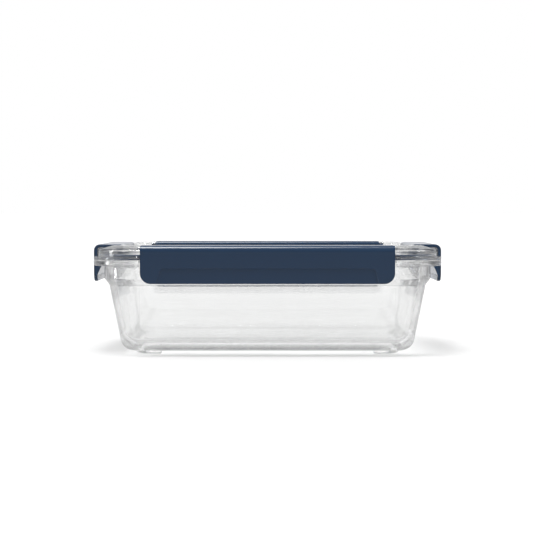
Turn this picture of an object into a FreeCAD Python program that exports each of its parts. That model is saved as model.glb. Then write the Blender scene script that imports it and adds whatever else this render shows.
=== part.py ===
import FreeCAD, Part
import math
import os

# Glass food storage container with a clear lid, a silicone gasket and four snap latches.
# Frame: origin on the floor under the centre, +X along the long side, -Y to the front, +Z up.
# Millimetres throughout.

# Overall size
overall_length = 222.0        # over the two side latches
overall_depth = 168.0         # over the front and back latches
overall_height = 69.3         # floor to the top of the closed latches

# Plan of the flange; every other outline is set in from it
flange_inset = 0.8            # the flange stands this far behind the latches' outer faces
flange_corner_radius = 30.0

# Glass base
foot_height = 2.2
floor_thickness = 4.8
wall_thickness = 4.5
wall_draft = 11.3             # degrees from the vertical
base_edge_radius = 8.5
inner_edge_radius = 9.0
floor_round_limit = 0.98      # most of the floor's own corner that those two rounds may use
collar_inset = 6.9
collar_step = 3.0             # the collar stands out from the body wall by this much
collar_root_radius = 3.0      # where the body wall meets the chamfer under the collar
collar_height = 8.3
collar_chamfer_height = 3.9
collar_fillet = 1.2
flange_thickness = 3.9
flange_edge_radius = 1.0

# Feet: a short bar bent round each corner
foot_reach_inset = 26.2       # outer side of a foot, in from the flange
foot_bend_radius = 14.0
foot_width = 6.0
foot_edge_radius = 1.4
foot_sink = 1.0               # a foot runs this far into the floor

# Gasket
gasket_height = 3.2
gasket_outer_inset = 6.2
gasket_width = 5.7
gasket_lip = 0.9
gasket_groove_depth = 0.9
gasket_groove_slope = 0.2
gasket_edge_radius = 0.3

# Lid
brim_gap = 0.2                # between the brim and the flange
brim_thickness = 1.6
brim_edge_radius = 0.5
skirt_inset = 3.0
skirt_foot_radius = 0.6
channel_roof = 2.3            # from the gasket's top to the lid surface under a latch's arm
channel_gap = 0.2             # gasket to the outer wall of its channel
retainer_depth = 0.7          # ridge on that wall, in the gasket's groove; its faces lean 45 degrees
retainer_tip_radius = 0.1
plug_gap = 0.3                # gasket to the plug wall
plug_thickness = 1.8
plug_depth = 3.6              # the plug wall reaches this far down inside the rim
plug_edge_radius = 0.6
panel_rise = 0.9              # underside of the centre panel above the rim
panel_thickness = 2.0
panel_corner_radius = 1.0
pad_drop = 0.3                # the corner pads end this far below the latches' tops
pad_fall = 2.4                # and slope down this much to the skirt
pad_edge_radius = 1.8
pad_slope_inset = 13.0
pad_slope_radius = 6.0
pad_back = 1.7                # pad beyond the latches' barrels, on the panel side
pad_inner_radius = 1.0
pad_inner_draft = 0.6

# Latches
long_latch_margin = 1.5       # latch end to the end of the flange's straight side
short_latch_margin = 8.2
latch_tail = 10.4             # the hook's top to the latch's lower edge
plate_thickness = 2.2
arm_thickness = 1.9
arm_reach = 16.5              # hinge axis to the outer face
barrel_radius = 2.3
latch_top_radius = 4.0
latch_inner_radius = 1.8
latch_tip_radius = 0.9
latch_corner_radius = 6.7
latch_end_radius = 0.8
hook_depth = 2.3
hook_gap = 0.3                # hook to the underside of the flange
hook_tip_height = 1.0
hook_height = 6.2
hook_edge_radius = 0.3
grip_depth = 0.6
grip_slope = 0.5              # chamfer round the grip panel
grip_drop = 0.7               # the hook's top to the grip panel's upper edge
grip_end_margin = 12.2        # latch end to the grip panel, at its top
grip_flare = 2.7
grip_corner_radius = 3.0

# Hinges and clearances
pin_radius = 1.1
pin_length = 3.0
pin_clearance = 0.05
pin_end_clearance = 0.3
ear_gap = 0.4                 # latch end to the ear beside it
barrel_gap = 0.3
arm_gap = 1.8                 # under a latch's arm
plate_gap = 0.9               # behind a latch's plate, to the flange and the brim
hook_side_gap = 0.4           # hook's tip to the flange, sideways
notch_gap = 1.2               # latch end to the side of the notch in the flange
notch_face_height = 0.5       # upright part of the flange in a notch; the rest leans in
notch_overrun = 1.0           # the cutter leans on this far below the flange

# Worked out from the values above
flange_half_x = overall_length / 2 - flange_inset
flange_half_y = overall_depth / 2 - flange_inset
corner_x = flange_half_x - flange_corner_radius
corner_y = flange_half_y - flange_corner_radius
long_latch_length = 2 * (corner_x - long_latch_margin)
short_latch_length = 2 * (corner_y - short_latch_margin)
hinge_height = overall_height - barrel_radius
pad_top = overall_height - pad_drop
pad_edge_height = pad_top - pad_fall
shelf_height = overall_height - arm_thickness - arm_gap
gasket_top = shelf_height - channel_roof
flange_top = gasket_top - gasket_height
groove_middle = (flange_top + gasket_top) / 2
flange_bottom = flange_top - flange_thickness
collar_bottom = flange_bottom - collar_height
body_top = collar_bottom - collar_chamfer_height
floor_top = foot_height + floor_thickness
draft_angle = math.radians(wall_draft)
draft_slope = math.tan(draft_angle)
brim_bottom = flange_top + brim_gap
brim_top = brim_bottom + brim_thickness
plug_bottom = flange_top - plug_depth
panel_bottom = flange_top + panel_rise
panel_top = panel_bottom + panel_thickness
hook_top = flange_bottom - hook_gap
hook_bottom = hook_top - hook_height
latch_bottom = hook_top - latch_tail
grip_top = hook_top - grip_drop
notch_inset = plate_thickness + plate_gap       # from a latch's outer face to the flange
notch_taper = hook_depth - plate_gap + hook_side_gap

ORIGIN = FreeCAD.Vector(0, 0, 0)
UP = FreeCAD.Vector(0, 0, 1)
ACROSS = FreeCAD.Vector(1, 0, 0)
ALONG = FreeCAD.Vector(0, 1, 0)
QUARTER = 90
PAST = 10.0                   # a cutter runs this far past what it cuts
TOUCHING = 0.01               # edges this near a plane lie in it


def rounded_face(corners):
    """Face in the XZ plane from corners (x, z, radius), each rounded by a tangent arc."""
    places = [FreeCAD.Vector(x, 0, z) for x, z, _ in corners]
    rounds = []
    for number, (_, _, radius) in enumerate(corners):
        place = places[number]
        back = (places[number - 1] - place).normalize()
        ahead = (places[(number + 1) % len(places)] - place).normalize()
        half_angle = back.getAngle(ahead) / 2
        middle_line = (back + ahead).normalize() if radius else ahead
        setback = radius / math.tan(half_angle)
        centre = place + middle_line * (radius / math.sin(half_angle))
        rounds.append((place + back * setback, centre - middle_line * radius,
                       place + ahead * setback))
    edges = []
    for number, (start, middle, end) in enumerate(rounds):
        if corners[number][2]:
            edges.append(Part.Arc(start, middle, end).toShape())
        following = rounds[(number + 1) % len(rounds)][0]
        edges.append(Part.LineSegment(end, following).toShape())
    return Part.Face(Part.Wire(edges))


def wall_round(reach, radius):
    """Radius of the round where a drafted wall meets the floor, as far as the floor has room."""
    return min(radius, floor_round_limit * reach / math.tan((math.pi / 2 - draft_angle) / 2))


def inset(distance):
    """Distance from the corner's turning axis to an outline set in from the flange."""
    return flange_corner_radius - distance


def carried_round(section):
    """Carry a wall section round the plan: straight along the sides, turned at the corners."""
    corners = [(corner_x, corner_y), (-corner_x, corner_y),
               (-corner_x, -corner_y), (corner_x, -corner_y)]
    pieces = []
    for number, (x, y) in enumerate(corners):
        start_x, start_y = corners[number - 1]
        run = abs(x - start_x) + abs(y - start_y)
        turned = section.revolve(ORIGIN, UP, QUARTER)
        straight = section.extrude(ALONG * run)
        for piece in (turned, straight):
            piece.rotate(ORIGIN, UP, QUARTER * number)
        turned.translate(FreeCAD.Vector(x, y, 0))
        straight.translate(FreeCAD.Vector(start_x, start_y, 0))
        pieces += [turned, straight]
    return pieces


def middle_plate(bottom, top):
    """The flat middle between the four turning axes."""
    return Part.makeBox(2 * corner_x, 2 * corner_y, top - bottom,
                        FreeCAD.Vector(-corner_x, -corner_y, bottom))


def united(pieces):
    return pieces[0].multiFuse(pieces[1:]).removeSplitter()


def latch_places():
    """Each latch: name, turn from the +X side, distance out to its outer face, length."""
    return [("latch_right", 0, overall_length / 2, short_latch_length),
            ("latch_back", QUARTER, overall_depth / 2, long_latch_length),
            ("latch_left", 2 * QUARTER, overall_length / 2, short_latch_length),
            ("latch_front", 3 * QUARTER, overall_depth / 2, long_latch_length)]


def bar_across(corners, length):
    """A bar along Y, centred, from section corners drawn in the XZ plane."""
    bar = rounded_face(corners).extrude(ALONG * length)
    bar.translate(ALONG * (-length / 2))
    return bar


def foot():
    """One foot at the +X +Y corner: a bar bent a quarter turn, with round ends."""
    half = foot_width / 2
    top = foot_height + foot_sink
    left, right = foot_bend_radius - foot_width, foot_bend_radius
    bar = rounded_face([(left, 0, foot_edge_radius), (right, 0, foot_edge_radius),
                        (right, top, 0), (left, top, 0)]).revolve(ORIGIN, UP, QUARTER)
    end = rounded_face([(0, 0, 0), (half, 0, foot_edge_radius), (half, top, 0), (0, top, 0)])
    end = end.revolve(ORIGIN, UP, 4 * QUARTER)
    ends = []
    for x, y in ((foot_bend_radius - half, 0), (0, foot_bend_radius - half)):
        placed = end.copy()
        placed.translate(FreeCAD.Vector(x, y, 0))
        ends.append(placed)
    shape = united([bar] + ends)
    shape.translate(FreeCAD.Vector(flange_half_x - foot_reach_inset - foot_bend_radius,
                                   flange_half_y - foot_reach_inset - foot_bend_radius, 0))
    return shape


def feet():
    """The foot mirrored to all four corners."""
    first = foot()
    pair = [first, first.mirror(ORIGIN, ACROSS)]
    return pair + [shape.mirror(ORIGIN, ALONG) for shape in pair]


def glass_section():
    """Half section of the dish, from the turning axis outwards."""
    body_inset = collar_inset + collar_step
    bottom_inset = body_inset + (body_top - foot_height) * draft_slope
    inner_shift = wall_thickness / math.cos(draft_angle)
    rim_inset = body_inset + inner_shift - (flange_top - body_top) * draft_slope
    inner_bottom_inset = body_inset + inner_shift + (body_top - floor_top) * draft_slope
    base_reach, floor_reach = inset(bottom_inset), inset(inner_bottom_inset)
    return rounded_face([
        (0, foot_height, 0),
        (base_reach, foot_height, wall_round(base_reach, base_edge_radius)),
        (inset(body_inset), body_top, collar_root_radius),
        (inset(collar_inset), collar_bottom, collar_fillet),
        (inset(collar_inset), flange_bottom, collar_fillet),
        (inset(0), flange_bottom, flange_edge_radius),
        (inset(0), flange_top, flange_edge_radius),
        (inset(rim_inset), flange_top, flange_edge_radius),
        (floor_reach, floor_top, wall_round(floor_reach, inner_edge_radius)),
        (0, floor_top, 0)])


def flange_notch(half_span, length):
    """Cutter that clears a latch and its hook's way out of the flange."""
    face = half_span - notch_inset
    taper_top = flange_top - notch_face_height
    lean = notch_taper / (taper_top - flange_bottom)
    low = flange_bottom - notch_overrun
    return bar_across([
        (face, flange_top + PAST, 0),
        (face, taper_top, 0),
        (face - notch_taper - lean * notch_overrun, low, 0),
        (half_span + PAST, low, 0),
        (half_span + PAST, flange_top + PAST, 0)], length + 2 * notch_gap)


def glass_base():
    pieces = carried_round(glass_section()) + [middle_plate(foot_height, floor_top)] + feet()
    shape = united(pieces)
    for _, turn, half_span, length in latch_places():
        cutter = flange_notch(half_span, length)
        cutter.rotate(ORIGIN, UP, turn)
        shape = shape.cut(cutter)
    return shape


def gasket():
    """Silicone ring with a groove round its outer side, which leaves a lip above and below."""
    outer = inset(gasket_outer_inset)
    inner = outer - gasket_width
    groove = outer - gasket_groove_depth
    low_lip = flange_top + gasket_lip
    high_lip = gasket_top - gasket_lip
    return united(carried_round(rounded_face([
        (inner, flange_top, gasket_edge_radius),
        (outer, flange_top, gasket_edge_radius),
        (outer, low_lip, 0),
        (groove, low_lip + gasket_groove_slope, 0),
        (groove, high_lip - gasket_groove_slope, 0),
        (outer, high_lip, 0),
        (outer, gasket_top, gasket_edge_radius),
        (inner, gasket_top, gasket_edge_radius)])))


def lid_section():
    """Half section of the lid through a corner pad, from the turning axis outwards."""
    plug_outer = inset(gasket_outer_inset + gasket_width + plug_gap)
    plug_inner = plug_outer - plug_thickness
    channel_outer = inset(gasket_outer_inset - channel_gap)
    skirt = inset(skirt_inset)
    pad_inner = inset(arm_reach + barrel_radius + pad_back - flange_inset)
    return rounded_face([
        (0, panel_bottom, 0),
        (plug_inner, panel_bottom, panel_corner_radius),
        (plug_inner, plug_bottom, plug_edge_radius),
        (plug_outer, plug_bottom, plug_edge_radius),
        (plug_outer, gasket_top, 0),
        (channel_outer, gasket_top, 0),
        (channel_outer, groove_middle + retainer_depth, 0),
        (channel_outer - retainer_depth, groove_middle, retainer_tip_radius),
        (channel_outer, groove_middle - retainer_depth, 0),
        (channel_outer, brim_bottom, 0),
        (inset(0), brim_bottom, brim_edge_radius),
        (inset(0), brim_top, brim_edge_radius),
        (skirt, brim_top, skirt_foot_radius),
        (skirt, pad_edge_height, pad_edge_radius),
        (inset(pad_slope_inset), pad_top, pad_slope_radius),
        (pad_inner, pad_top, pad_inner_radius),
        (pad_inner - pad_inner_draft, panel_top, panel_corner_radius),
        (0, panel_top, 0)])


def latch_room(half_span, length):
    """Cutters that make room in the lid for one latch: notch, hinge trough, brim, pin holes."""
    axis = half_span - arm_reach
    trough = barrel_radius + barrel_gap
    pad_inner = axis - barrel_radius - pad_back - PAST
    brim_face = half_span - notch_inset
    room = length + 2 * ear_gap
    top = pad_top + PAST
    notch = bar_across([(pad_inner, shelf_height, 0), (half_span + PAST, shelf_height, 0),
                        (half_span + PAST, top, 0), (pad_inner, top, 0)], room)
    barrel_trough = bar_across([
        (axis - trough, hinge_height - trough, 0), (axis + trough, hinge_height - trough, 0),
        (axis + trough, top, 0), (axis - trough, top, 0)], room)
    brim_notch = bar_across([
        (brim_face, flange_top - PAST, 0), (half_span + PAST, flange_top - PAST, 0),
        (half_span + PAST, shelf_height, 0), (brim_face, shelf_height, 0)],
        length + 2 * notch_gap)
    hole_length = length + 2 * (pin_length + pin_end_clearance)
    holes = Part.makeCylinder(pin_radius + pin_clearance, hole_length,
                              FreeCAD.Vector(axis, -hole_length / 2, hinge_height), ALONG)
    return [notch, barrel_trough, brim_notch, holes]


def lid():
    shape = united(carried_round(lid_section()) + [middle_plate(panel_bottom, panel_top)])
    for _, turn, half_span, length in latch_places():
        for cutter in latch_room(half_span, length):
            cutter.rotate(ORIGIN, UP, turn)
            shape = shape.cut(cutter)
    return shape


def side_view_block(corners, near, far):
    """Block whose outline, corners (along Y, up Z, radius), is seen looking along X."""
    block = rounded_face(corners).extrude(ALONG * (near - far))
    block.rotate(ORIGIN, UP, QUARTER)
    block.translate(ACROSS * near)
    return block


def latch(length):
    """Latch with its hinge axis on the Y axis and its outer face towards +X."""
    half = length / 2
    top = overall_height - hinge_height
    bottom = latch_bottom - hinge_height
    plate_inner = arm_reach - plate_thickness
    hook_tip = plate_inner - hook_depth
    hook_upper = hook_top - hinge_height
    body = bar_across([
        (0, top, 0),
        (arm_reach, top, latch_top_radius),
        (arm_reach, bottom, latch_tip_radius),
        (plate_inner, bottom, latch_tip_radius),
        (plate_inner, hook_bottom - hinge_height, hook_edge_radius),
        (hook_tip, hook_upper - hook_tip_height, hook_edge_radius),
        (hook_tip, hook_upper, hook_edge_radius),
        (plate_inner, hook_upper, hook_edge_radius),
        (plate_inner, top - arm_thickness, latch_inner_radius),
        (0, top - arm_thickness, 0)], length)
    barrel = Part.makeCylinder(barrel_radius, length, ALONG * -half, ALONG)
    outline = side_view_block([
        (-half, bottom, latch_corner_radius), (half, bottom, latch_corner_radius),
        (half, top, latch_end_radius), (-half, top, latch_end_radius)],
        -PAST, arm_reach + PAST)
    grip_half = half - grip_end_margin
    grip_high = grip_top - hinge_height
    low = bottom - PAST
    flare = grip_half + grip_flare
    spread = flare + (flare - grip_half) * PAST / (grip_high - bottom)
    grip = side_view_block([
        (-spread, low, 0), (spread, low, 0),
        (grip_half, grip_high, grip_corner_radius), (-grip_half, grip_high, grip_corner_radius)],
        arm_reach - grip_depth, arm_reach + PAST)
    rim = [edge for edge in grip.Edges
           if abs(edge.BoundBox.XMax - arm_reach + grip_depth) < TOUCHING]
    grip = grip.makeChamfer(grip_slope, rim)
    pins = Part.makeCylinder(pin_radius, length + 2 * pin_length,
                             ALONG * (-half - pin_length), ALONG)
    shape = body.fuse(barrel).common(outline).cut(grip).fuse(pins)
    return shape.removeSplitter()


def write(name, shape):
    """Check that a piece is one sound solid, then write it."""
    solids = shape.Solids
    if len(solids) != 1 or not solids[0].isValid():
        raise ValueError("%s has %d solids, valid: %s" % (name, len(solids), shape.isValid()))
    solids[0].exportStep(os.path.join("parts", name + ".step"))
    box = solids[0].BoundBox
    print("%-12s volume %9.1f  x %7.2f %7.2f  y %7.2f %7.2f  z %6.2f %6.2f" % (
        name, solids[0].Volume, box.XMin, box.XMax, box.YMin, box.YMax, box.ZMin, box.ZMax))


os.makedirs("parts", exist_ok=True)
write("glass_base", glass_base())
write("gasket", gasket())
write("lid", lid())
for latch_name, turn, half_span, length in latch_places():
    placed_latch = latch(length)
    placed_latch.translate(FreeCAD.Vector(half_span - arm_reach, 0, hinge_height))
    placed_latch.rotate(ORIGIN, UP, turn)
    write(latch_name, placed_latch)
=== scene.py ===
import math
import bpy
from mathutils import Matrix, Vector

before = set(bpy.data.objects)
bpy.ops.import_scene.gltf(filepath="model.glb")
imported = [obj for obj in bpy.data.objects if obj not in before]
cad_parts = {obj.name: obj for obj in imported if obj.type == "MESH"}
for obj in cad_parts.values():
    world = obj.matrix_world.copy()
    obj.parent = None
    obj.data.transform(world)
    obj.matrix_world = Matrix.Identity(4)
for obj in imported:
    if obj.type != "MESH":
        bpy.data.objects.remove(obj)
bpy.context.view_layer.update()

# The camera stands in front of the container, a little above its lid, and looks slightly down.
CAMERA_DISTANCE = 1.1155       # metres in front of the container's centre
CAMERA_HEIGHT = 0.0903
CAMERA_PITCH = 1.918           # degrees down
CAMERA_LENS = 112.7            # millimetres, on a sensor of the next width
SENSOR_WIDTH = 36.0
CAMERA_REACH = 100.0           # metres

LIGHT_BOUNCES = 64             # enough to pass the nested faces of the flange, lid and collar
BRIGHTEST_BOUNCE = 1.6         # keeps bright specks out of the glass

FLOOR_SIZE = 120.0
FLOOR_SHADE = 0.33
FLOOR_ROUGHNESS = 0.6
FLOOR_GLOW = (0.30, 0.72)      # under the lights, and where they no longer reach
GLOW_REACH = (0.15, 1.2)       # metres from the container between those two
SURROUND = (0.6, 1.0)          # in front of the container, and behind it
SURROUND_TURN = (-0.6, 0.1)    # the direction's Y where it changes between those two
# Lights: name, place, what it points at, width, height, watts
LIGHTS = [("key", (-0.17, -0.22, 1.3), (0, 0, 0.03), 0.45, 0.45, 18.0),
          ("overhead", (0, -0.2, 1.3), (0, -0.05, 0.05), 2.4, 0.35, 3.5),
          ("left_strip", (-1.1, -0.16, 0.3), (0, -0.05, 0.05), 0.2, 0.7, 6.0),
          ("right_strip", (0.99, -0.44, 0.45), (0.05, 0, 0.04), 0.15, 0.8, 4.0)]

WHITE = (1, 1, 1, 1)
NOISE_MIDDLE = (0.3, 0.7)      # the range that most of a noise's values lie in

# Clear glass and plastic
GLASS_TINT = (0.935, 0.937, 0.935)
LID_TINT = (0.985, 0.985, 0.985)
UNBENT_TINT = (0.965, 0.967, 0.967, 1)
LAMP_TINT = (0.9, 0.903, 0.903, 1)   # what each face leaves of a lamp's light
GLASS_IOR = 1.5
LID_IOR = 1.49
GLASS_LEAK = 0.24              # share of the light that passes each face unbent
LID_LEAK = 0.35
GLASS_WAVES = 45               # the moulded face's waves, in cycles per metre
LID_WAVES = 60
WAVE_DEPTH = 0.00004
WAVE_STRENGTH = 0.3
GLASS_HAZE = 0.006             # most roughness where the polish is dull
LID_HAZE = 0.01
POLISH_SCALE = 6               # times as fine as the waves
WAVE_SHADE = 0.985             # the tint's least share, which goes with the waves

# Navy plastic and silicone
NAVY = (0.009, 0.025, 0.056)
COLOR_SPREAD = 0.03
ROUGHNESS_SPREAD = 0.02
PATCH_SCALE = 35               # patches of colour and gloss, in cycles per metre
GRAIN_STRENGTH = 0.35


def camera():
    data = bpy.data.cameras.new("camera")
    data.lens = CAMERA_LENS
    data.sensor_width = SENSOR_WIDTH
    data.clip_end = CAMERA_REACH
    stand = bpy.data.objects.new("camera", data)
    stand.location = (0, -CAMERA_DISTANCE, CAMERA_HEIGHT)
    stand.rotation_euler = (math.radians(90 - CAMERA_PITCH), 0, 0)
    bpy.context.scene.collection.objects.link(stand)
    bpy.context.scene.camera = stand


def area_light(name, place, target, width, height, power):
    data = bpy.data.lights.new(name, "AREA")
    data.shape = "RECTANGLE"
    data.size, data.size_y = width, height
    data.energy = power
    lamp = bpy.data.objects.new(name, data)
    lamp.location = place
    lamp.rotation_euler = (Vector(target) - Vector(place)).to_track_quat("-Z", "Y").to_euler()
    bpy.context.scene.collection.objects.link(lamp)


def new_material(name):
    material = bpy.data.materials.new(name)
    material.use_nodes = True
    tree = material.node_tree
    return material, tree.nodes, tree.links, tree.nodes["Principled BSDF"]


def ranged(nodes, links, source, span, result):
    """source, mapped from span to result."""
    band = nodes.new("ShaderNodeMapRange")
    band.inputs["From Min"].default_value, band.inputs["From Max"].default_value = span
    band.inputs["To Min"].default_value, band.inputs["To Max"].default_value = result
    links.new(source, band.inputs["Value"])
    return band.outputs["Result"]


def light_paths():
    """A plain view of the colours, and light that gets through every face of the glass."""
    scene = bpy.context.scene
    scene.view_settings.view_transform = "Standard"
    scene.cycles.use_denoising = True
    scene.cycles.sample_clamp_indirect = BRIGHTEST_BOUNCE
    scene.cycles.max_bounces = LIGHT_BOUNCES
    scene.cycles.transmission_bounces = LIGHT_BOUNCES
    scene.cycles.glossy_bounces = LIGHT_BOUNCES
    scene.cycles.transparent_max_bounces = LIGHT_BOUNCES


def surround():
    """An even white surround, dimmer in front of the container than behind it."""
    world = bpy.data.worlds.new("surround")
    bpy.context.scene.world = world
    world.use_nodes = True
    nodes, links = world.node_tree.nodes, world.node_tree.links
    nodes["Background"].inputs["Color"].default_value = WHITE
    way = nodes.new("ShaderNodeTexCoord")
    parts = nodes.new("ShaderNodeSeparateXYZ")
    links.new(way.outputs["Generated"], parts.inputs[0])
    links.new(ranged(nodes, links, parts.outputs["Y"], SURROUND_TURN, SURROUND),
              nodes["Background"].inputs["Strength"])


def floor():
    """A pale floor whose own glow rises away from the container, as the lights' reach ends."""
    half = FLOOR_SIZE / 2
    mesh = bpy.data.meshes.new("floor")
    mesh.from_pydata([(-half, -half, 0), (half, -half, 0), (half, half, 0), (-half, half, 0)],
                     [], [(0, 1, 2, 3)])
    plane = bpy.data.objects.new("floor", mesh)
    bpy.context.scene.collection.objects.link(plane)
    material, nodes, links, shader = new_material("floor")
    shader.inputs["Base Color"].default_value = (FLOOR_SHADE, FLOOR_SHADE, FLOOR_SHADE, 1)
    shader.inputs["Roughness"].default_value = FLOOR_ROUGHNESS
    shader.inputs["Emission Color"].default_value = WHITE
    place = nodes.new("ShaderNodeTexCoord")
    away = nodes.new("ShaderNodeVectorMath")
    away.operation = "LENGTH"
    links.new(place.outputs["Object"], away.inputs[0])
    links.new(ranged(nodes, links, away.outputs["Value"], GLOW_REACH, FLOOR_GLOW),
              shader.inputs["Emission Strength"])
    mesh.materials.append(material)


def noise(nodes, links, scale, detail):
    """Noise over the object's own coordinates, in cycles per metre."""
    place = nodes.new("ShaderNodeTexCoord")
    texture = nodes.new("ShaderNodeTexNoise")
    texture.inputs["Scale"].default_value = scale
    texture.inputs["Detail"].default_value = detail
    links.new(place.outputs["Object"], texture.inputs["Vector"])
    return texture.outputs["Fac"]


def spread(nodes, links, source, low, high):
    """The noise's middle range drawn out from low to high."""
    return ranged(nodes, links, source, NOISE_MIDDLE, (low, high))


def bump(nodes, links, source, strength, depth):
    relief = nodes.new("ShaderNodeBump")
    relief.inputs["Strength"].default_value = strength
    relief.inputs["Distance"].default_value = depth
    links.new(source, relief.inputs["Height"])
    return relief.outputs["Normal"]


def blended_color(nodes, links, source, first, second):
    ramp = nodes.new("ShaderNodeValToRGB")
    ramp.color_ramp.elements[0].position, ramp.color_ramp.elements[1].position = NOISE_MIDDLE
    ramp.color_ramp.elements[0].color = (*first, 1)
    ramp.color_ramp.elements[1].color = (*second, 1)
    links.new(source, ramp.inputs["Fac"])
    return ramp.outputs["Color"]


def transparent(nodes, color):
    shader = nodes.new("ShaderNodeBsdfTransparent")
    shader.inputs["Color"].default_value = color
    return shader.outputs[0]


def mixed(nodes, links, first, second):
    """The mix's factor socket, and its output."""
    mix = nodes.new("ShaderNodeMixShader")
    links.new(first, mix.inputs[1])
    links.new(second, mix.inputs[2])
    return mix.inputs[0], mix.outputs[0]


def clear_material(name, tint, ior, leak, wave_scale, haze):
    """Clear glass or plastic: slightly wavy moulded faces with a faint uneven polish. A share of
    the light passes each face unbent, which keeps the edges pale, and lamps shine through."""
    material, nodes, links, shader = new_material(name)
    waves = noise(nodes, links, wave_scale, 2.0)
    polish = noise(nodes, links, wave_scale * POLISH_SCALE, 4.0)
    shader.inputs["Transmission Weight"].default_value = 1.0
    shader.inputs["IOR"].default_value = ior
    shaded = [WAVE_SHADE * part for part in tint]
    links.new(blended_color(nodes, links, waves, tint, shaded), shader.inputs["Base Color"])
    links.new(spread(nodes, links, polish, 0.0, haze), shader.inputs["Roughness"])
    links.new(bump(nodes, links, waves, WAVE_STRENGTH, WAVE_DEPTH), shader.inputs["Normal"])
    share, body = mixed(nodes, links, shader.outputs[0], transparent(nodes, UNBENT_TINT))
    share.default_value = leak
    lamp, surface = mixed(nodes, links, body, transparent(nodes, LAMP_TINT))
    path = nodes.new("ShaderNodeLightPath")
    links.new(path.outputs["Is Shadow Ray"], lamp)
    links.new(surface, nodes["Material Output"].inputs["Surface"])
    return material


def solid_material(name, rough, grain_scale, grain_depth, gloss):
    """Navy plastic or silicone: a fine moulded grain, with colour and gloss slightly uneven."""
    material, nodes, links, shader = new_material(name)
    patches = noise(nodes, links, PATCH_SCALE, 3.0)
    grain = noise(nodes, links, grain_scale, 2.0)
    deeper = [(1 - COLOR_SPREAD) * part for part in NAVY]
    paler = [(1 + COLOR_SPREAD) * part for part in NAVY]
    links.new(blended_color(nodes, links, patches, deeper, paler), shader.inputs["Base Color"])
    links.new(spread(nodes, links, patches, rough - ROUGHNESS_SPREAD, rough + ROUGHNESS_SPREAD),
              shader.inputs["Roughness"])
    links.new(bump(nodes, links, grain, GRAIN_STRENGTH, grain_depth), shader.inputs["Normal"])
    shader.inputs["Specular IOR Level"].default_value = gloss
    return material


def dress(node, material):
    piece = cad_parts[node]
    piece.data.materials.clear()
    piece.data.materials.append(material)


camera()
light_paths()
surround()
for light in LIGHTS:
    area_light(*light)
floor()
glass = clear_material("clear_glass", GLASS_TINT, GLASS_IOR, GLASS_LEAK, GLASS_WAVES, GLASS_HAZE)
lid_plastic = clear_material("clear_plastic", LID_TINT, LID_IOR, LID_LEAK, LID_WAVES, LID_HAZE)
silicone = solid_material("navy_silicone", rough=0.5, grain_scale=2500, grain_depth=0.00002,
                          gloss=0.2)
latch_plastic = solid_material("navy_plastic", rough=0.17, grain_scale=3000,
                               grain_depth=0.000001, gloss=0.25)
dress("glass_base", glass)
dress("lid", lid_plastic)
dress("gasket", silicone)
for side in ("front", "back", "left", "right"):
    dress("latch_" + side, latch_plastic)
